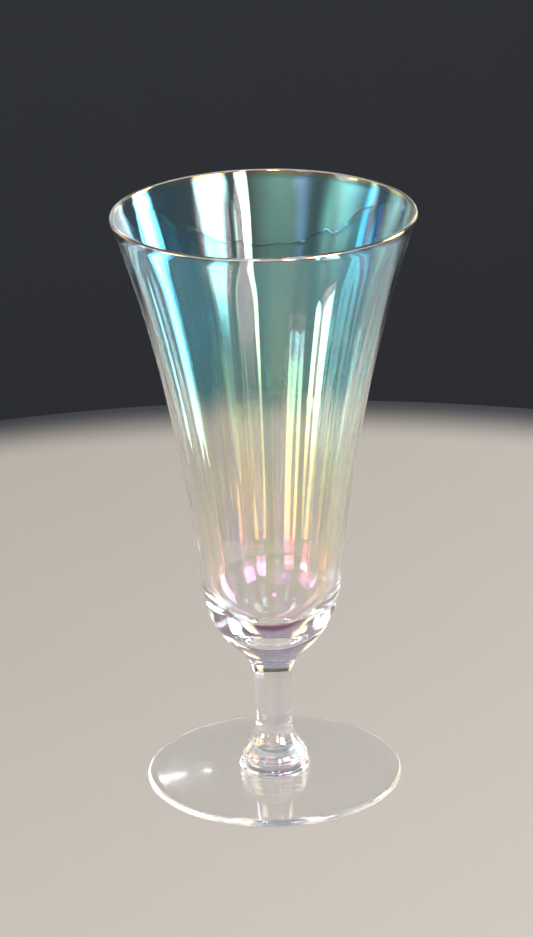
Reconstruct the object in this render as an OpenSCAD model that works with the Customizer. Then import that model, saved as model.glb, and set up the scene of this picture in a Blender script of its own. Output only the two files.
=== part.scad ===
// Footed champagne flute: a blown bowl with optic panels inside, standing on a short drawn stem,
// a bell-shaped knop, a rolled collar and a disc foot. The five gathers of glass are joined hot,
// so each one meets the next face to face on a flat disc. +Z is up, and the origin is the middle
// of the circle that the foot stands on. All lengths are in millimetres.

/* [Overall] */
// Height from the table to the top of the lip
height = 165; // [158:1:172]
// Diameter of the lip, outside
lip_d = 82.7; // [78:0.1:88]
// Diameter of the foot
foot_d = 71.3; // [64:0.1:78]

/* [Bowl] */
// Diameter of the hip, where the flare meets the rounded bottom
hip_d = 38.9; // [36:0.1:42]
// Height of the hip above the table
hip_z = 60; // [57:0.5:63]
// How far the wall leans outwards at the hip, across per unit up
hip_lean = 0.114; // [0.08:0.002:0.15]
// How far the wall leans outwards at the lip, across per unit up
lip_lean = 0.347; // [0.3:0.001:0.4]
// Thickness of the rounded lip
lip_t = 1.3; // [1.1:0.05:1.6]
// Thickness of the wall at the hip, over a panel ridge
hip_t = 2; // [1.8:0.05:2.4]
// Height of the bottom of the inside above the table
floor_z = 43.5; // [42.5:0.1:45]

/* [Optic panels] */
// Number of panels round the inside
panels = 16; // [12:1:20]
// Depth of a panel below the ridges beside it
panel_depth = 0.2; // [0.1:0.02:0.4]

/* [Stem] */
// Diameter of the stem at its narrowest
stem_d = 9.9; // [9:0.1:10.5]
// Height of the joint between the bowl and the stem
neck_z = 36; // [35:0.5:36.5]
// Diameter of the joint between the bowl and the stem
neck_d = 14.2; // [13.5:0.1:15]

/* [Knop and collar] */
// Height of the joint between the stem and the knop
knop_top_z = 16; // [15:0.5:17]
// Diameter of the knop at its widest
knop_d = 18.5; // [17.8:0.1:19]
// Height of the joint between the knop and the collar
crease_z = 5; // [4.8:0.1:5.4]
// Diameter of the crease between the knop and the collar
crease_d = 17; // [16.4:0.1:17.4]
// Diameter of the collar at its widest
collar_d = 19.7; // [19.2:0.1:20.5]

/* [Foot] */
// Thickness of the foot at its rounded edge
foot_edge_t = 2; // [1.8:0.1:2.2]
// Height of the joint between the collar and the foot
foot_top_z = 2.4; // [2.3:0.05:2.6]
// Depth of the hollow under the foot
hollow_depth = 0.4; // [0.2:0.05:0.6]
// Width of the flat ring that the foot stands on
land_w = 4.5; // [3:0.1:6]

/* [Hidden] */
$fn = 96;

bezier_steps = 14;          // straight steps in one long curve
short_steps = 7;            // straight steps in one short curve
panel_points = 6;           // points round one panel

// Corner points of the outlines, as radius and height
lip_r = lip_t / 2;
lip_mid = [lip_d / 2 - lip_r, height - lip_r];
lip_out = lip_mid + [lip_r, 0];
lip_in = lip_mid - [lip_r, 0];
hip = [hip_d / 2, hip_z];
hip_in = hip - [hip_t, 0];
throat = [10.6, 39.85];     // where the bottom of the bowl turns from bulging to hollow
neck = [neck_d / 2, neck_z];
waist = [stem_d / 2, knop_top_z + 5];
knop_top = [5.1, knop_top_z];
knop_wide = [knop_d / 2, crease_z + 1.4];
crease = [crease_d / 2, crease_z];
collar_wide = [collar_d / 2, foot_top_z + 1.1];
seat = [9.2, foot_top_z];   // the edge of the joint between the collar and the foot
edge_r = foot_edge_t / 2;
edge_mid = [foot_d / 2 - edge_r, edge_r];
land = [edge_mid[0] - land_w, 0];

// Leans of the outside, across per unit up
throat_lean = 1.066;
neck_lean = 0.7;
knop_top_lean = -0.02;

// How far up or down each curve keeps the lean that it starts or ends with
floor_hold = 9;
bottom_hold = 9;
bulge_hold = 7;
hip_hold = 4;
flare_hold = 36;
lip_hold = 34;
throat_hold = 1.2;
neck_hold = 1.1;
neck_drop = 3;
waist_hold = 8;
flare_out = 1;
knop_swell = 2.8;
knop_shoulder = 5.2;
roll_hold = 0.75;

// Where the panels are shallower: none below their start, full after growing, none at the lip
panel_start = 9;
panel_grow = 36;
panel_fade = 12;
ridge_power = 0.9;          // how round the ridges are: 0.5 is sharp, 1.5 is soft
cutter_rise = 1;            // how far the inside is cut past the top of the lip
cutter_flare = 0.4;         // how far it widens over that

// A point on a cubic curve, t from 0 to 1.
function bezier(a, b, c, d, t) =
    pow(1 - t, 3) * a + 3 * t * pow(1 - t, 2) * b + 3 * t * t * (1 - t) * c + pow(t, 3) * d;
// The curve as points. It starts after its first point when first is 1.
function curve(a, b, c, d, steps, first = 0) =
    [for (i = [first:steps]) bezier(a, b, c, d, i / steps)];
// Points round a circle in the outline plane, from one angle to another.
function arc(centre, r, from, to, steps, first = 0) =
    [for (i = [first:steps]) let (a = from + (to - from) * i / steps)
        centre + r * [cos(a), sin(a)]];
// The point that lies further up from another, or down, along a lean.
function along(point, lean, up) = point + up * [lean, 1];
// An outline from the axis out and back to the axis, at the heights where it starts and ends.
function closed(outline) = concat(
    [[0, outline[0][1]]], outline, [[0, outline[len(outline) - 1][1]]]);

// Outline of the outside of the bowl, from the neck up to the crown of the lip.
function bowl_outside() = concat(
    curve(neck, along(neck, neck_lean, neck_hold),
        along(throat, throat_lean, -throat_hold), throat, short_steps),
    curve(throat, along(throat, throat_lean, bulge_hold),
        along(hip, hip_lean, -hip_hold), hip, bezier_steps, 1),
    curve(hip, along(hip, hip_lean, flare_hold),
        along(lip_out, lip_lean, -lip_hold), lip_out, bezier_steps, 1),
    arc(lip_mid, lip_r, 0, 80, 4, 1)
);

// Outline of the inside of the bowl along a panel ridge, from its lowest point to the lip.
function bowl_inside() = concat(
    curve([0, floor_z], [floor_hold, floor_z],
        along(hip_in, hip_lean, -bottom_hold), hip_in, bezier_steps - 4),
    curve(hip_in, along(hip_in, hip_lean, flare_hold),
        along(lip_in, lip_lean, -lip_hold), lip_in, bezier_steps - 2, 1),
    arc(lip_mid, lip_r, 180, 110, 2, 1)
);

// How deep the panels are at a height: full in the flare, fading out at the bottom and the lip.
function relief(z) = panel_depth
    * eased((z - floor_z - panel_start) / panel_grow)
    * eased((lip_mid[1] - z) / panel_fade);
// A share from 0 to 1 that starts and ends without a kink.
function eased(share) = let (s = min(1, max(0, share))) s * s * (3 - 2 * s);
// The share of that depth at an angle: 0 on a ridge, and 1 in the middle of a panel.
function panel(angle) = pow(abs(sin(angle * panels / 2)), ridge_power);

// The inside of the bowl as one closed solid: rings of points up the outline, and a flat top.
module bowl_cavity() {
    outline = bowl_inside();
    last = outline[len(outline) - 1];
    rings = concat([for (i = [1:len(outline) - 1]) outline[i]],
        [[last[0] + cutter_flare, height + cutter_rise]]);
    around = panels * panel_points;
    count = len(rings);
    points = concat([[0, 0, floor_z]],
        [for (ring = rings, k = [0:around - 1])
            let (a = 360 * k / around, r = ring[0] + relief(ring[1]) * panel(a))
            [r * cos(a), r * sin(a), ring[1]]]);
    function at(j, k) = 1 + j * around + k % around;
    faces = concat(
        [for (k = [0:around - 1]) [0, at(0, k), at(0, k + 1)]],
        [for (j = [0:count - 2], k = [0:around - 1]) [at(j, k), at(j + 1, k), at(j + 1, k + 1)]],
        [for (j = [0:count - 2], k = [0:around - 1]) [at(j, k), at(j + 1, k + 1), at(j, k + 1)]],
        [[for (k = [0:around - 1]) at(count - 1, around - 1 - k)]]
    );
    polyhedron(points = points, faces = faces);
}

module bowl() {
    outline = bowl_outside();
    crown = [outline[len(outline) - 1][0] - lip_r / 6, height];
    color([0.85, 0.93, 0.95, 0.4])
        difference() {
            rotate_extrude() polygon(closed(concat(outline, [crown])));
            bowl_cavity();
        }
}

module stem() {
    color([0.88, 0.9, 0.95, 0.4])
        rotate_extrude()
            polygon(closed(concat(
                curve(knop_top, [waist[0], knop_top_z + 1.5 * flare_out],
                    along(waist, 0, -flare_out), waist, short_steps),
                curve(waist, along(waist, 0, waist_hold),
                    along(neck, neck_lean, -neck_drop), neck, bezier_steps, 1))));
}

module knop() {
    color([0.9, 0.88, 0.95, 0.4])
        rotate_extrude()
            polygon(closed(concat(
                curve(crease, crease + [0.5, 0.1],
                    along(knop_wide, 0, -roll_hold), knop_wide, short_steps),
                curve(knop_wide, along(knop_wide, 0, knop_swell),
                    along(knop_top, knop_top_lean, -knop_shoulder), knop_top,
                    bezier_steps, 1))));
}

module collar() {
    color([0.9, 0.92, 0.96, 0.4])
        rotate_extrude()
            polygon(closed(concat(
                curve(seat, seat + [0.4, 0],
                    along(collar_wide, 0, -roll_hold), collar_wide, short_steps),
                curve(collar_wide, along(collar_wide, 0, roll_hold),
                    crease + [0.6, -0.1], crease, short_steps, 1))));
}

module foot() {
    slope_hold = 8;             // how far in and out the top of the foot stays level
    hollow_hold = 6;            // how far the hollow runs out towards the ring
    color([0.87, 0.92, 0.93, 0.4])
        rotate_extrude()
            polygon(concat(
                curve([0, hollow_depth], [land[0] / 2, hollow_depth],
                    land + [-hollow_hold, hollow_depth / 10], land, bezier_steps),
                arc(edge_mid, edge_r, -90, 90, 8),
                curve(edge_mid + [0, edge_r], edge_mid + [-slope_hold, edge_r],
                    seat + [slope_hold, 0], seat, bezier_steps, 1),
                [[0, foot_top_z]]));
}

bowl();
stem();
knop();
collar();
foot();
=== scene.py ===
# %% [markdown]
# # A footed flute in lustre glass
# This lesson builds one drinking glass in Blender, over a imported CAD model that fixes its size.
# The glass is five gathers of hot glass, joined in a row on the blowing iron: a blown bowl with
# optic panels inside, a short drawn stem, a bell-shaped knop, a rolled collar and a disc foot.
# Each gather is modelled as its own closed piece, and the faces where two of them have melted
# together are made invisible, so that light runs on from one into the next.

# %% Load the frame
import math

import bmesh
import bpy
from mathutils import Matrix, Vector
from mathutils.geometry import interpolate_bezier


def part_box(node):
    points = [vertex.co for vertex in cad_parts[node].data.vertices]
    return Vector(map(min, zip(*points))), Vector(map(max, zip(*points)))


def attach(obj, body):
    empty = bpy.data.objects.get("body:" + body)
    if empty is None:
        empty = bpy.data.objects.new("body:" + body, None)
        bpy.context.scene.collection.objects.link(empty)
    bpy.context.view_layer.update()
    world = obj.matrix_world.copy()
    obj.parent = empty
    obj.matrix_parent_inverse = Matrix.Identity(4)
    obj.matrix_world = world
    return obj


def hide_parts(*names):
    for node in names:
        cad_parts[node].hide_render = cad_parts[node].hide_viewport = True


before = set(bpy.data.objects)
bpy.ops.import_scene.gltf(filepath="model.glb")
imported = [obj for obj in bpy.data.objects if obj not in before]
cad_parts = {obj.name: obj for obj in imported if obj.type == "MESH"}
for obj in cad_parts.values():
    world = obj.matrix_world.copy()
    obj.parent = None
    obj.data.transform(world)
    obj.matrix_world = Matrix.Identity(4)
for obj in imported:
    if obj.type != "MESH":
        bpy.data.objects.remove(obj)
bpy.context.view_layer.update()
MM = 0.001

# %% [markdown]
# ## The camera
# A long lens from above eye level shows the lip and the foot as two slim ovals. The camera is
# placed by how far away it is and how steeply it looks down at a point on the axis of the glass.
# Its turn round the glass puts a panel ridge just left of the middle of the bowl, and it is
# rolled by about a degree, as a camera held by hand is.

# %% Put the camera in place
lens_mm = 156.28
aim_mm = (-0.6, 0, 91.7)
camera_distance = 1.1137
camera_height_deg = 20.713
camera_roll_deg = -1.208
camera_turn_deg = 98.4


def round_glass(turn_deg, distance, z):
    """A place at a distance from the axis, turned from the camera's side towards its right."""
    turn = math.radians(turn_deg + camera_turn_deg)
    return Vector((math.sin(turn) * distance, -math.cos(turn) * distance, z))


elevation = math.radians(camera_height_deg)
aim = Matrix.Rotation(math.radians(camera_turn_deg), 3, "Z") @ Vector(aim_mm) * MM
eye = round_glass(0, camera_distance * math.cos(elevation), 0) + aim
eye.z = aim.z + camera_distance * math.sin(elevation)
bpy.ops.object.camera_add()
camera = bpy.context.object
camera.data.lens = lens_mm
camera.rotation_mode = "QUATERNION"
roll = Matrix.Rotation(math.radians(camera_roll_deg), 3, "Z").to_quaternion()
camera.location = eye
camera.rotation_quaternion = (aim - eye).to_track_quat("-Z", "Y") @ roll
bpy.context.scene.camera = camera
print("camera at", [round(v, 3) for v in eye])

# %% [markdown]
# ## The table and the backdrop
# Clear glass shows what is behind it, so the stage is part of the look. A plain pale round table
# carries the glass. Past its edge there is only a wall that is dark low down, so the upper half of
# the bowl stands against the dark and its reflections show. Higher up the wall is pale, because
# the top of the foot mirrors that part, and would look dull without it. The table's colour fades
# to dark towards its edge, because the panels would draw a hard edge as a row of teeth. The table
# lies a hair below the foot: two faces in exactly the same plane would flicker through the glass.


# %% Make the stage
def plain(name, colour, roughness):
    """A matt material of one colour, for things that aren't the glass."""
    material = bpy.data.materials.new(name)
    material.use_nodes = True
    shader = material.node_tree.nodes["Principled BSDF"]
    shader.inputs["Base Color"].default_value = (*colour, 1)
    shader.inputs["Roughness"].default_value = roughness
    shader.inputs["Specular IOR Level"].default_value = matt_gloss
    return material


def graduate(material, measured, start, end, first, last):
    """Changes a matt material's colour smoothly, by its distance from the axis or its height."""
    tree = material.node_tree
    position = tree.nodes.new("ShaderNodeTexCoord").outputs["Object"]
    if measured == "distance":
        measure = tree.nodes.new("ShaderNodeVectorMath")
        measure.operation = "LENGTH"
    else:
        measure = tree.nodes.new("ShaderNodeSeparateXYZ")
    tree.links.new(position, measure.inputs[0])
    amount = measure.outputs["Value" if measured == "distance" else "Z"]
    blend = tree.nodes.new("ShaderNodeMapRange")
    blend.interpolation_type = "SMOOTHSTEP"
    blend.inputs["From Min"].default_value = start
    blend.inputs["From Max"].default_value = end
    tree.links.new(amount, blend.inputs["Value"])
    colours = tree.nodes.new("ShaderNodeMix")
    colours.data_type = "RGBA"
    colours.inputs["A"].default_value = (*first, 1)
    colours.inputs["B"].default_value = (*last, 1)
    tree.links.new(blend.outputs[0], colours.inputs["Factor"])
    tree.links.new(colours.outputs["Result"], tree.nodes["Principled BSDF"].inputs["Base Color"])


matt_gloss = 0.1
table_r = 0.31
table_fade_r = 0.27
table_thick = 0.02
table_colour = (0.36, 0.33, 0.30)
hair = 0.02 * MM
wall_r = 1.7
wall_tall = 3.0
wall_dark_z = -0.05
wall_pale_z = 0.4
dark = (0.035, 0.038, 0.044)
pale = (0.36, 0.37, 0.39)
bpy.ops.mesh.primitive_cylinder_add(
    vertices=256, radius=table_r, depth=table_thick, location=(0, 0, -hair - table_thick / 2)
)
table = bpy.context.object
table.name = "table"
table.data.materials.append(plain("pale_table", table_colour, 0.8))
graduate(table.data.materials[0], "distance", table_fade_r, table_r, table_colour, dark)
bpy.ops.mesh.primitive_cylinder_add(
    vertices=128, radius=wall_r, depth=wall_tall, end_fill_type="NOTHING"
)
backdrop = bpy.context.object
backdrop.name = "backdrop"
backdrop.data.materials.append(plain("graduated_wall", dark, 0.9))
graduate(backdrop.data.materials[0], "height", wall_dark_z, wall_pale_z, dark, pale)
bpy.ops.mesh.primitive_circle_add(
    vertices=128, radius=wall_r, fill_type="NGON", location=(0, 0, -wall_tall / 2)
)
under = bpy.context.object
under.name = "dark_floor"
under.data.materials.append(plain("dark_floor", dark, 0.9))
print("stage:", table.name, backdrop.name, under.name)

# %% [markdown]
# ## The lights
# Glass is lit by what it mirrors. Tall soft boxes stand round the glass like the windows of a
# room, and the bowl's panels mirror each one as upright streaks. Wide dim ones stand for the
# room's walls, and give the veil of colour between the streaks. A soft box is brighter in its
# middle than at its edges, so a streak fades out sideways instead of being cut off. It is dimmer in
# its lower half, like a window with sky above and ground below. Two round lamps hang high in front,
# and give the sparkles in the solid parts. Two tiny ones behind the glass leave two small soft
# spots on the foot.


# %% Make the lights
def smooth_rise(tree, value, from_min, from_max, to_min):
    """A smooth change from to_min to 1 as a value goes from from_min to from_max."""
    rise = tree.nodes.new("ShaderNodeMapRange")
    rise.interpolation_type = "SMOOTHSTEP"
    rise.inputs["From Min"].default_value = from_min
    rise.inputs["From Max"].default_value = from_max
    rise.inputs["To Min"].default_value = to_min
    tree.links.new(value, rise.inputs["Value"])
    return rise.outputs[0]


def fade_light(light, edge, low_share):
    """Makes a rectangular light dimmer towards its upright edges and in its lower half."""
    light.use_nodes = True
    tree = light.node_tree
    spot = tree.nodes.new("ShaderNodeSeparateXYZ")
    tree.links.new(tree.nodes.new("ShaderNodeNewGeometry").outputs["Parametric"], spot.inputs[0])
    from_edge = tree.nodes.new("ShaderNodeMath")
    from_edge.operation = "PINGPONG"
    from_edge.inputs[1].default_value = half
    tree.links.new(spot.outputs["X"], from_edge.inputs[0])
    both = tree.nodes.new("ShaderNodeMath")
    both.operation = "MULTIPLY"
    sideways = smooth_rise(tree, from_edge.outputs[0], 0, edge, edge_share)
    upwards = smooth_rise(tree, spot.outputs["Y"], dim_below, full_above, low_share)
    tree.links.new(sideways, both.inputs[0])
    tree.links.new(upwards, both.inputs[1])
    tree.links.new(both.outputs[0], tree.nodes["Emission"].inputs["Strength"])


def area_light(name, shape, turn_deg, distance, middle_z, size, tint):
    """A light of some shape that faces the glass."""
    spot = round_glass(turn_deg, distance, middle_z)
    bpy.ops.object.light_add(type="AREA", location=spot)
    light = bpy.context.object
    light.name = name
    light.data.shape = shape
    light.data.size = size
    light.data.color = tint
    facing = Vector((0, 0, lit_z)) - spot
    light.rotation_euler = facing.to_track_quat("-Z", "Y").to_euler()
    return light


def soft_box(name, turn_deg, low_z, high_z, wide, brightness, low_share, edge=0.3, tint=(1, 1, 1)):
    """An upright rectangle of light, with the share of its brightness that its bottom has."""
    box = area_light(name, "RECTANGLE", turn_deg, room_r, (low_z + high_z) / 2, wide, tint)
    box.data.size_y = high_z - low_z
    box.data.energy = brightness * wide * (high_z - low_z) * math.pi
    fade_light(box.data, edge, low_share)


def lamp(name, turn_deg, distance, z, wide, brightness):
    """A small round lamp."""
    disc = area_light(name, "DISK", turn_deg, distance, z, wide, (1, 1, 1))
    disc.data.energy = brightness * math.pi * wide * wide / 4 * math.pi


room_r = 1.25
lit_z = 0.1
half = 0.5
edge_share = 0.02
dim_below = 0.3
full_above = 0.65
gold = (1, 0.78, 0.45)
soft_box("window_right", 44, -0.05, 0.8, 0.68, 28, 0.035)
soft_box("window_far_right", 112, -0.15, 0.75, 0.55, 28, 0.32)
soft_box("window_near", 18, -0.15, 0.7, 0.24, 24, 0.14)
soft_box("window_left", -68, -0.2, 0.26, 0.5, 26, 0.12)
soft_box("window_low_left", -35, -0.15, 0.25, 0.16, 3.6, 0.8)
soft_box("window_far_left", -98, -0.1, 0.5, 0.3, 5, 0.3, 0.5)
soft_box("warm_left", -128, -0.2, 0.6, 0.7, 2.5, 0.5, tint=gold)
soft_box("warm_right", 152, -0.2, 0.6, 0.5, 2.5, 0.5, tint=gold)
soft_box("room_left", -76, 0.1, 0.7, 1.2, 3.4, 0.2, 0.5, (1, 1, 0.8))
soft_box("room_front", -14, 0.1, 1.1, 1.5, 1.1, 0.4, 0.5, (1, 0.95, 0.75))
soft_box("room_high", -32, 0.45, 0.8, 0.5, 3, 0.3, 0.5, (0.6, 0.5, 1))
lamp("lamp_left", -12, 0.7, 1.3, 0.2, 50)
lamp("lamp_right", 25, 0.6, 1.4, 0.1, 60)
lamp("lamp_behind", 184.44, 0.8, 0.382, 0.005, 14)
lamp("lamp_beyond", 183.5, 0.8, 0.379, 0.005, 14)

# %% [markdown]
# ## Outlines
# A glass is made on a turning iron, so every gather is round, and its outline says everything.
# In Blender an outline can be drawn as a chain of vertices: one vertex is extruded from place to
# place. The Spin tool then turns the chain about the upright axis into a skin. The places come
# from smooth curves, each given by its two ends and by the way it holds on to its direction at
# each end, just like the handles of a curve drawn by hand.


# %% Draw and turn an outline
def place(radius, height):
    """A point of an outline, in millimetres from the axis and above the table."""
    return Vector((radius, 0, height)) * MM


def curve(start, start_hold, end_hold, end, steps):
    """Points from start to end. Each hold is a step in millimetres, across and up."""
    first = start + place(*start_hold)
    last = end + place(*end_hold)
    return interpolate_bezier(start, first, last, end, steps + 1)


def rounded(middle, radius, from_deg, to_deg, steps):
    """Points on a circle, from one angle to another."""
    turns = [math.radians(from_deg + (to_deg - from_deg) * i / steps) for i in range(steps + 1)]
    return [middle + radius * Vector((math.cos(a), 0, math.sin(a))) for a in turns]


def draw_outline(name, points):
    """Extrudes one vertex along the points, and leaves the new piece in edit mode."""
    bpy.ops.object.select_all(action="DESELECT")
    bpy.ops.mesh.primitive_plane_add(size=MM)
    piece = bpy.context.object
    piece.name = piece.data.name = name
    bpy.ops.object.mode_set(mode="EDIT")
    bpy.ops.mesh.merge(type="CENTER")
    bpy.ops.transform.translate(value=points[0])
    for here, there in zip(points, points[1:]):
        if (there - here).length > 0.001 * MM:
            bpy.ops.mesh.extrude_vertices_move(TRANSFORM_OT_translate={"value": there - here})
    return piece


def turn_outline(steps, turn_deg=360):
    """Spins the chain that is being edited about the axis, and closes its seam and its poles."""
    bpy.ops.mesh.select_all(action="SELECT")
    bpy.ops.mesh.spin(steps=steps, angle=math.radians(turn_deg), center=(0, 0, 0), axis=(0, 0, 1))
    weld()


def weld():
    """Merges vertices that lie on each other, and turns all faces outwards."""
    bpy.ops.mesh.select_all(action="SELECT")
    bpy.ops.mesh.remove_doubles(threshold=0.002 * MM)
    bpy.ops.mesh.normals_make_consistent(inside=False)


def finish_piece(piece):
    """Leaves edit mode and shades the piece smooth, but for its sharp joint edges."""
    bpy.ops.object.mode_set(mode="OBJECT")
    bpy.ops.object.shade_smooth_by_angle(angle=math.radians(sharp_deg))
    print(piece.name, len(piece.data.polygons), "faces")


sharp_deg = 50

# %% [markdown]
# ## Sizes from the frame
# The heights where one gather ends and the next begins, and the widest radius of each, are read
# from the CAD nodes, so the glass keeps its real size. The few values that a box can't give are
# named below in millimetres.

# %% Read the sizes
bowl_low, bowl_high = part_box("bowl")
stem_low, stem_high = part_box("stem")
knop_low, knop_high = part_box("knop")
collar_low, collar_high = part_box("collar")
foot_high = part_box("foot")[1]
lip_out_r = bowl_high.x / MM
lip_top = bowl_high.z / MM
neck_z = bowl_low.z / MM
neck_r = stem_high.x / MM
knop_top_z = stem_low.z / MM
knop_wide_r = knop_high.x / MM
crease_z = knop_low.z / MM
collar_wide_r = collar_high.x / MM
seat_z = collar_low.z / MM
foot_r = foot_high.x / MM
turn_steps = 128
print("joints at", [round(z, 2) for z in (neck_z, knop_top_z, crease_z, seat_z)], "mm")

# %% [markdown]
# ## The foot
# A disc foot starts as a gather that is dropped on the collar, opened with wooden boards and
# spun flat. Its edge is fire-polished round, its top falls very slightly outwards, and its
# middle is hollow underneath, so that the glass stands on a ring and doesn't rock.

# %% Turn the foot
edge_r = 1.0
land_w = 4.5
hollow_depth = 0.4
hollow_hold = 6
slope_hold = 8
seat_r = 9.2
edge_middle = place(foot_r - edge_r, edge_r)
land_r = foot_r - edge_r - land_w
land = place(land_r, 0)
hollow_middle = place(0, hollow_depth)
seat = place(seat_r, seat_z)
underside = curve(hollow_middle, (land_r / 2, 0), (-hollow_hold, hollow_depth / 10), land, 14)
edge = rounded(edge_middle, edge_r * MM, -90, 90, 16)
top = curve(edge[-1], (-slope_hold, 0), (slope_hold, 0), seat, 14)
foot = draw_outline("disc_foot", underside + edge + top + [place(0, seat_z)])
turn_outline(turn_steps)
finish_piece(foot)

# %% [markdown]
# ## The collar and the knop
# The collar is a small gather pressed into a rolled ring. The knop above it is bell-shaped: it
# bulges just over the crease, and narrows into the stem without a step.

# %% Turn the collar and the knop
crease_r = 8.5
collar_rise = 1.1
roll = 0.75
crease = place(crease_r, crease_z)
collar_wide = place(collar_wide_r, seat_z + collar_rise)
lower_half = curve(seat, (0.4, 0), (0, -roll), collar_wide, 10)
upper_half = curve(collar_wide, (0, roll), (0.6, -0.1), crease, 10)
collar = draw_outline(
    "rolled_collar", [place(0, seat_z)] + lower_half + upper_half + [place(0, crease_z)]
)
turn_outline(turn_steps)
finish_piece(collar)

knop_top_r = 5.1
knop_rise = 1.4
swell = 2.8
shoulder_drop = 5.2
knop_top = place(knop_top_r, knop_top_z)
knop_wide = place(knop_wide_r, crease_z + knop_rise)
bulge = curve(crease, (0.5, 0.1), (0, -roll), knop_wide, 10)
bell = curve(knop_wide, (0, swell), (0.1, -shoulder_drop), knop_top, 24)
knop = draw_outline(
    "bell_knop", [place(0, crease_z)] + bulge + bell + [place(0, knop_top_z)]
)
turn_outline(turn_steps)
finish_piece(knop)

# %% [markdown]
# ## The stem
# The stem is drawn out of a gather under the bowl. It is narrowest a little above the knop, and
# widens again into the neck of the bowl.

# %% Turn the stem
waist_r = 4.95
waist_rise = 5
waist_hold = 8
neck_lean = 0.7
neck_drop = 3
waist = place(waist_r, knop_top_z + waist_rise)
neck = place(neck_r, neck_z)
root = curve(knop_top, (-0.15, 1.5), (0, -1), waist, 8)
drawn = curve(waist, (0, waist_hold), (-neck_drop * neck_lean, -neck_drop), neck, 20)
stem = draw_outline(
    "drawn_stem", [place(0, knop_top_z)] + root + drawn + [place(0, neck_z)]
)
turn_outline(turn_steps)
finish_piece(stem)

# %% [markdown]
# ## The bowl
# A gather is dipped in a ribbed mould and then blown out in a smooth one. The outside comes out
# smooth, and the ribs move to the inside: sixteen shallow hollow panels with soft ridges between
# them. They bend light sideways, which is what gives such a glass its upright streaks. Because
# the panels repeat, one sixteenth of the bowl is modelled: the whole outline, outside, lip and
# inside, is turned by one panel's angle, its inside is hollowed, and it is then copied round.

# %% Outline of the bowl
panels = 16
panel_steps = 12
lip_r = 0.65
hip_t = 2.0
floor_z = 43.5
throat_lean = 1.066
hip_lean = 0.114
lip_lean = 0.347
flare_hold = 36
lip_hold = 34
floor_hold = 9
throat = place(10.6, 39.85)
hip = place(19.45, 60)
hip_in = hip - place(hip_t, 0)
lip_middle = place(lip_out_r - lip_r, lip_top - lip_r)
lip_out = lip_middle + place(lip_r, 0)
lip_in = lip_middle - place(lip_r, 0)


def up(lean, rise):
    """A hold that rises by so many millimetres along a leaning wall."""
    return (lean * rise, rise)


bowl_outline = [place(0, neck_z)]
bowl_outline += curve(neck, up(neck_lean, 1.1), up(throat_lean, -1.2), throat, 12)
bowl_outline += curve(throat, up(throat_lean, 7), up(hip_lean, -4), hip, 40)
bowl_outline += curve(hip, up(hip_lean, flare_hold), up(lip_lean, -lip_hold), lip_out, 48)
bowl_outline += rounded(lip_middle, lip_r * MM, 0, 180, 14)
bowl_outline += curve(lip_in, up(lip_lean, -lip_hold), up(hip_lean, flare_hold), hip_in, 48)
bowl_outline += curve(hip_in, up(hip_lean, -floor_hold), (floor_hold, 0), place(0, floor_z), 40)
bowl = draw_outline("panelled_bowl", bowl_outline)
turn_outline(panel_steps, 360 / panels)
print("outline of", len(bowl_outline), "points")

# %% [markdown]
# The hollow of the panel is a Displace modifier with a vertex group. A vertex of the inside gets
# a weight of 0 on a ridge and 1 in the middle of the panel, less near the floor and the lip, and
# the modifier pushes it into the wall by that share of the panel's depth.

# %% Hollow one panel and copy it round
panel_depth = 0.2
panel_start_z = floor_z + 9
panel_grow = 36
panel_fade = 12
ridge_power = 0.9


def eased(value):
    """A share from 0 to 1 that starts and ends without a kink."""
    share = min(1, max(0, value))
    return share * share * (3 - 2 * share)


def panel_weight(point):
    """How hollow the panel is at a point of the inside."""
    z = point.z / MM
    across = math.atan2(point.y, point.x) * panels / 2
    grown = eased((z - panel_start_z) / panel_grow) * eased((lip_middle.z / MM - z) / panel_fade)
    return grown * abs(math.sin(across)) ** ridge_power


bpy.ops.object.mode_set(mode="OBJECT")
inside = bowl.vertex_groups.new(name="inside")
for vertex in bowl.data.vertices:
    if vertex.normal.x < 0 and vertex.co.z > floor_z * MM:
        inside.add([vertex.index], panel_weight(vertex.co), "REPLACE")
hollow = bowl.modifiers.new("hollow", "DISPLACE")
hollow.vertex_group = "inside"
hollow.mid_level = 0
hollow.strength = -panel_depth * MM
bpy.ops.object.modifier_apply(modifier="hollow")
bpy.ops.object.mode_set(mode="EDIT")
bpy.ops.mesh.select_all(action="SELECT")
bpy.ops.mesh.spin(
    steps=panels - 1,
    angle=math.tau * (panels - 1) / panels,
    center=(0, 0, 0),
    axis=(0, 0, 1),
    dupli=True,
)
weld()
finish_piece(bowl)

# %% [markdown]
# ## A thin metal film on glass
# Lustre is made by spraying metal salts on the hot glass. They burn on as a clear oxide film, far
# thinner than a hair: about a fifth of a thousandth of a millimetre. Light mirrored by its two
# faces interferes, so its colour depends on the film's thickness and on the angle, as in a soap
# bubble. The glass shader has this effect built in as Thin Film, and it needs only a thickness in
# nanometres that changes over the glass as the sprayed film does. Paint alone couldn't do this:
# the colour has to sit in the reflections, and change as the viewer moves.


# %% Helpers for material nodes
def put(tree, kind, settings=None, inputs=None):
    """A new node with its settings. An input is a value, or the output socket that feeds it."""
    made = tree.nodes.new(kind)
    for name, value in (settings or {}).items():
        setattr(made, name, value)
    for name, value in (inputs or {}).items():
        if isinstance(value, bpy.types.NodeSocket):
            tree.links.new(value, made.inputs[name])
        else:
            made.inputs[name].default_value = value
    return made


def combine(tree, kind, first, second):
    """One step of arithmetic, such as ADD or MULTIPLY."""
    return put(tree, "ShaderNodeMath", {"operation": kind}, {0: first, 1: second}).outputs[0]


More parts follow.
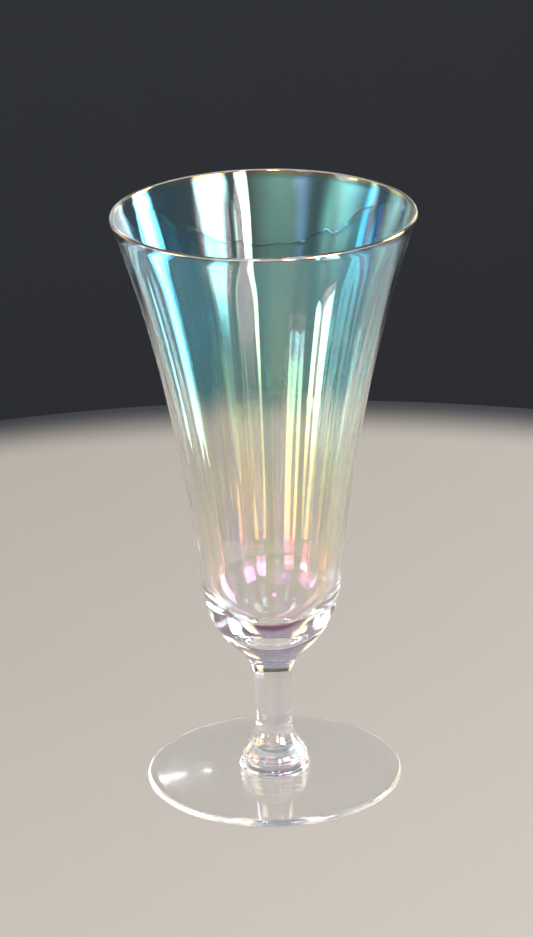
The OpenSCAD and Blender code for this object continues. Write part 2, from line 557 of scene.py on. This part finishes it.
def rescale(tree, value, was, becomes, how="LINEAR"):
    """Maps the range that a value has onto the range that it should have, and clamps it."""
    made = put(tree, "ShaderNodeMapRange", {"interpolation_type": how}, {"Value": value})
    for socket_name, limit in zip(("From Min", "From Max", "To Min", "To Max"), (*was, *becomes)):
        if isinstance(limit, bpy.types.NodeSocket):
            tree.links.new(limit, made.inputs[socket_name])
        else:
            made.inputs[socket_name].default_value = limit
    return made.outputs[0]


def upright_streaks(tree, position, grain):
    """A smooth pattern from 0 to 1 that runs up the glass. It changes with the way that a point
    faces from the axis, and only slowly with its height. The grain says how finely it changes
    round the glass, and per metre up."""
    around, along = grain
    level = put(tree, "ShaderNodeVectorMath", {"operation": "MULTIPLY"}, {0: position, 1: (1, 1, 0)})
    facing = put(tree, "ShaderNodeVectorMath", {"operation": "NORMALIZE"}, {0: level.outputs[0]})
    spread = put(
        tree, "ShaderNodeVectorMath", {"operation": "SCALE"}, {0: facing.outputs[0], "Scale": around}
    )
    rise = put(
        tree, "ShaderNodeVectorMath", {"operation": "MULTIPLY"}, {0: position, 1: (0, 0, along)}
    )
    joined = put(
        tree,
        "ShaderNodeVectorMath",
        {"operation": "ADD"},
        {0: spread.outputs[0], 1: rise.outputs[0]},
    )
    noise = put(
        tree, "ShaderNodeTexNoise", None, {"Vector": joined.outputs[0], "Scale": 1, "Detail": 2}
    )
    return noise.outputs[0]


def new_group(name, inputs, outputs):
    """An empty shader node group with named sockets. Each is given as name: kind."""
    group = bpy.data.node_groups.new(name, "ShaderNodeTree")
    for socket_name, (kind, value) in inputs.items():
        socket = group.interface.new_socket(socket_name, in_out="INPUT", socket_type=kind)
        if value is not None:
            socket.default_value = value
    for socket_name, kind in outputs.items():
        group.interface.new_socket(socket_name, in_out="OUTPUT", socket_type=kind)
    return group, group.nodes.new("NodeGroupInput"), group.nodes.new("NodeGroupOutput")


# %% [markdown]
# ## The skin of handmade glass
# Fire-polished glass isn't perfectly even. It keeps soft draw lines, which run up from where it
# was pulled, a slight waviness from the blowing, and later dust and the odd water mark, which are
# a little duller than the glass. Every material of the glass uses this, so it is a node group: it
# gives a roughness and a height, and each material decides how strongly it takes them. The dull
# marks lie where a pattern passes a limit, so the limits say how much of the glass they cover.

# %% Node group: glass skin
skin, skin_in, skin_out = new_group(
    "glass_skin",
    {
        "Position": ("NodeSocketVector", None),
        "Polish": ("NodeSocketFloat", 0.02),
        "Marks": ("NodeSocketFloat", 0.1),
    },
    {"Roughness": "NodeSocketFloat", "Height": "NodeSocketFloat"},
)
line_grain = (10, 8)
line_share = 0.7
wave_scale = 90
mark_scale = 60
mark_limits = (0.62, 0.72)
dust_scale = 420
dust_limits = (0.05, 0.12)
where = skin_in.outputs["Position"]
draw_lines = upright_streaks(skin, where, line_grain)
waves = put(skin, "ShaderNodeTexNoise", None, {"Vector": where, "Scale": wave_scale, "Detail": 1})
lines = combine(skin, "MULTIPLY", draw_lines, line_share)
skin.links.new(combine(skin, "ADD", lines, waves.outputs[0]), skin_out.inputs["Height"])
patches = put(skin, "ShaderNodeTexNoise", None, {"Vector": where, "Scale": mark_scale, "Detail": 6})
mark = rescale(skin, patches.outputs[0], mark_limits, (0, 1), "SMOOTHSTEP")
specks = put(skin, "ShaderNodeTexVoronoi", None, {"Vector": where, "Scale": dust_scale})
dust = rescale(skin, specks.outputs["Distance"], dust_limits, (1, 0))
worn = combine(skin, "MAXIMUM", mark, dust)
dulled = combine(skin, "MULTIPLY", worn, skin_in.outputs["Marks"])
skin.links.new(
    combine(skin, "ADD", dulled, skin_in.outputs["Polish"]), skin_out.inputs["Roughness"]
)

# %% [markdown]
# ## Painted reflection colours of the lustre
# Against something pale the film's reflections hardly show, so their colours are painted into the
# glass as a tint. This is a painted reflection, not a colour that the glass has under any lamp:
# violet and pink at the bottom, then yellow and green, and teal and blue at the top. The tint
# follows the height, as the film does. It drifts a little round the glass, and is deeper in some
# upright streaks than in others, as the film's coloured streaks are.

# %% Node group: painted reflection colours of the film
tint, reflection_in, reflection_out = new_group(
    "painted_film_reflection",
    {
        "Position": ("NodeSocketVector", None),
        "Low": ("NodeSocketFloat", 0.0),
        "High": ("NodeSocketFloat", 1.0),
        "Depth": ("NodeSocketFloat", 1.0),
    },
    {"Tint": "NodeSocketColor"},
)
where = reflection_in.outputs["Position"]
drift_grain = (2, 4)
reflection_drift = 0.8
streak_grain = (7, 5)
streak_limits = (0.42, 0.62)
streak_depths = (0.15, 1)
height = put(tint, "ShaderNodeSeparateXYZ", None, {0: where}).outputs["Z"]
risen = rescale(tint, height, (reflection_in.outputs["Low"], reflection_in.outputs["High"]), (0, 1))
uneven = combine(tint, "SUBTRACT", upright_streaks(tint, where, drift_grain), 0.5)
drift = combine(tint, "MULTIPLY", uneven, reflection_drift)
ramp = put(tint, "ShaderNodeValToRGB", None, {0: combine(tint, "ADD", risen, drift)})
# painted reflection colours: the film's reflected colours, painted into the glass's own colour
reflection_colours = [
    (0.0, (0.84, 0.84, 0.99)),
    (0.14, (0.98, 0.90, 0.96)),
    (0.35, (0.99, 0.93, 0.70)),
    (0.55, (0.92, 0.97, 0.80)),
    (0.75, (0.80, 0.97, 0.93)),
    (1.0, (0.84, 0.91, 0.99)),
]
while len(ramp.color_ramp.elements) < len(reflection_colours):
    ramp.color_ramp.elements.new(0.5)
for element, (at, colour) in zip(ramp.color_ramp.elements, reflection_colours):
    element.position = at
    element.color = (*colour, 1)
streaks = upright_streaks(tint, where, streak_grain)
streak = rescale(tint, streaks, streak_limits, streak_depths, "SMOOTHSTEP")
depth = combine(tint, "MULTIPLY", reflection_in.outputs["Depth"], streak)
deepened = put(
    tint,
    "ShaderNodeMix",
    {"data_type": "RGBA"},
    {"Factor": depth, "A": (1, 1, 1, 1), "B": ramp.outputs["Color"]},
)
tint.links.new(deepened.outputs["Result"], reflection_out.inputs["Tint"])

# %% [markdown]
# ## Lustre glass
# The glass itself is a Principled shader with full Transmission. Its roughness and its height
# come from the skin group, and its colour is the film's painted reflection from the other group.
# The film's thickness is worked out here: it is thickest at the bottom of a piece, thins out
# quickly upwards, and drifts in broad upright streaks, because the spray was uneven. The lip has
# a thicker bead, where it was held in the flame. Only light that comes from the air meets the
# film: from inside the glass, the shader would turn it brown. A Mapping node turns all the
# patterns about the axis, to choose the streaks that face the camera.
#
# Lamps shine through clear glass, but a renderer needs very many samples to find that light. So
# rays that look for a lamp, and rays that a matt surface scatters, meet a clear shader instead.
# Without that the table under the foot would be dark.


# %% Build the glass materials
def lustre_glass(name, low, high, film_nm, film_ior, depth, polish):
    """Glass with a film of so many nanometres at the lower and the upper height, and its drift."""
    film_low_nm, film_high_nm, film_drift_nm = film_nm
    material = bpy.data.materials.new(name)
    material.use_nodes = True
    tree = material.node_tree
    tree.nodes.clear()
    on_object = put(tree, "ShaderNodeTexCoord").outputs["Object"]
    position = put(
        tree,
        "ShaderNodeMapping",
        None,
        {"Vector": on_object, "Rotation": (0, 0, math.radians(-pattern_turn_deg))},
    ).outputs[0]
    glass = put(
        tree,
        "ShaderNodeBsdfPrincipled",
        None,
        {"IOR": glass_ior, "Transmission Weight": 1, "Thin Film IOR": film_ior},
    )

    def use(group, **values):
        placed = put(tree, "ShaderNodeGroup", {"node_tree": group}, {"Position": position})
        for socket_name, value in values.items():
            placed.inputs[socket_name].default_value = value
        return placed.outputs

    worn = use(skin, Polish=polish, Marks=marks)
    bump = put(
        tree, "ShaderNodeBump", None, {"Strength": 1, "Distance": wave_height, "Height": worn["Height"]}
    )
    # the glass's Base Color is the film's painted reflection, from the group above
    painted_reflection = use(tint, Low=neck_z * MM, High=lip_top * MM, Depth=depth)
    tree.links.new(worn["Roughness"], glass.inputs["Roughness"])
    tree.links.new(bump.outputs["Normal"], glass.inputs["Normal"])
    tree.links.new(painted_reflection["Tint"], glass.inputs["Base Color"])
    height = put(tree, "ShaderNodeSeparateXYZ", None, {0: position}).outputs["Z"]
    settled = combine(tree, "POWER", rescale(tree, height, (high, low), (0, 1)), film_bend)
    film = rescale(tree, settled, (0, 1), (film_high_nm, film_low_nm))
    uneven = combine(tree, "SUBTRACT", upright_streaks(tree, position, film_grain), 0.5)
    drift = combine(tree, "MULTIPLY", uneven, film_drift_nm)
    bead = rescale(tree, height, (bead_low, bead_high), (0, bead_nm), "SMOOTHSTEP")
    thick = combine(tree, "ADD", combine(tree, "ADD", film, drift), bead)
    inside_hit = put(tree, "ShaderNodeNewGeometry").outputs["Backfacing"]
    from_outside = combine(tree, "SUBTRACT", 1, inside_hit)
    outer_film = combine(tree, "MULTIPLY", thick, from_outside)
    tree.links.new(outer_film, glass.inputs["Thin Film Thickness"])
    clear = put(tree, "ShaderNodeBsdfTransparent", None, {"Color": (*shade, 1)})
    ray = put(tree, "ShaderNodeLightPath").outputs
    shader = glass.outputs[0]
    for kind in ("Is Shadow Ray", "Is Diffuse Ray"):
        shader = put(
            tree, "ShaderNodeMixShader", None, {0: ray[kind], 1: shader, 2: clear.outputs[0]}
        ).outputs[0]
    put(tree, "ShaderNodeOutputMaterial", None, {"Surface": shader})
    return material


glass_ior = 1.52
pattern_turn_deg = 90
bead_nm = 50
bead_low = (lip_top - 1.5) * MM
bead_high = (lip_top - 0.5) * MM
film_bend = 3.1
film_grain = (2.2, 6)
wave_height = 0.004 * MM
marks = 0.1
shade = (0.98, 0.98, 0.98)
bowl_glass = lustre_glass(
    "lustre_glass", neck_z * MM, lip_top * MM, (283, 168, 60), film_ior=2.2, depth=0.8, polish=0.01
)
stem_glass = lustre_glass(
    "stem_glass", seat_z * MM, neck_z * MM, (285, 255, 70), film_ior=1.85, depth=0.8, polish=0.01
)
foot_glass = lustre_glass(
    "foot_glass", 0, seat_z * MM, (240, 220, 80), film_ior=1.55, depth=0, polish=0.05
)
print("materials:", [m.name for m in (bowl_glass, stem_glass, foot_glass)])

# %% [markdown]
# ## Which faces are joints
# Where two gathers were pressed together hot, no surface is left between them. Each piece stays
# a closed solid, so its joint faces get a material of their own that lets light straight on.

# %% Mark the joint faces
joint = bpy.data.materials.new("melted_joint")
joint.use_nodes = True
joint.node_tree.nodes.clear()
see_on = put(joint.node_tree, "ShaderNodeBsdfTransparent")
put(joint.node_tree, "ShaderNodeOutputMaterial", None, {"Surface": see_on.outputs[0]})


def give_glass(piece, glass, *joint_heights):
    """A piece's glass, with the joint material on the disc of faces at each joint height."""
    piece.data.materials.append(glass)
    piece.data.materials.append(joint)
    bpy.ops.object.select_all(action="DESELECT")
    piece.select_set(True)
    bpy.context.view_layer.objects.active = piece
    bpy.ops.object.mode_set(mode="EDIT")
    bpy.ops.mesh.select_all(action="DESELECT")
    mesh = bmesh.from_edit_mesh(piece.data)
    for height in joint_heights:
        middle = Vector((0, 0, height * MM))
        for face in mesh.faces:
            if any((v.co - middle).length < hair for v in face.verts):
                face.select = True
    bmesh.update_edit_mesh(piece.data)
    piece.active_material_index = 1
    bpy.ops.object.material_slot_assign()
    bpy.ops.object.mode_set(mode="OBJECT")
    joined = sum(p.material_index == 1 for p in piece.data.polygons)
    print(piece.name, "has", joined, "joint faces")


give_glass(foot, foot_glass, seat_z)
give_glass(collar, stem_glass, seat_z, crease_z)
give_glass(knop, stem_glass, crease_z, knop_top_z)
give_glass(stem, stem_glass, knop_top_z, neck_z)
give_glass(bowl, bowl_glass, neck_z)

# %% [markdown]
# ## Light paths and colour
# A ray can be mirrored dozens of times inside a disc or a rim of clear glass before it finds its
# way out, and one that is cut short on the way leaves black, so rays may go much deeper than
# usual. The Standard view keeps the bright, clean colours of the film. A plain grey room fills
# what the lights leave.

# %% Let rays go deep enough
deepest = 64
room_colour = (0.3, 0.31, 0.33)
scene = bpy.context.scene
scene.cycles.max_bounces = deepest
scene.cycles.transmission_bounces = deepest
scene.cycles.glossy_bounces = deepest
scene.cycles.transparent_max_bounces = deepest
scene.cycles.caustics_reflective = False
scene.cycles.caustics_refractive = False
scene.view_settings.view_transform = "Standard"
scene.view_settings.exposure = 0
scene.world = bpy.data.worlds.new("room")
scene.world.use_nodes = True
scene.world.node_tree.nodes["Background"].inputs["Color"].default_value = (*room_colour, 1)
print("up to", deepest, "bounces")

# %% [markdown]
# ## Riding on the frame
# Each piece stands for one CAD node, which it hides, and rides on the glass's only body. The name
# of its glass material is printed with it.

# %% Tie the pieces to the frame
for piece, node, slot in (
    (foot, "foot", "foot_glass"),
    (collar, "collar", "stem_glass"),
    (knop, "knop", "stem_glass"),
    (stem, "stem", "stem_glass"),
    (bowl, "bowl", "lustre_glass"),
):
    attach(piece, "root")
    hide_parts(node)
    print(piece.name, "replaces", node, "in", slot)
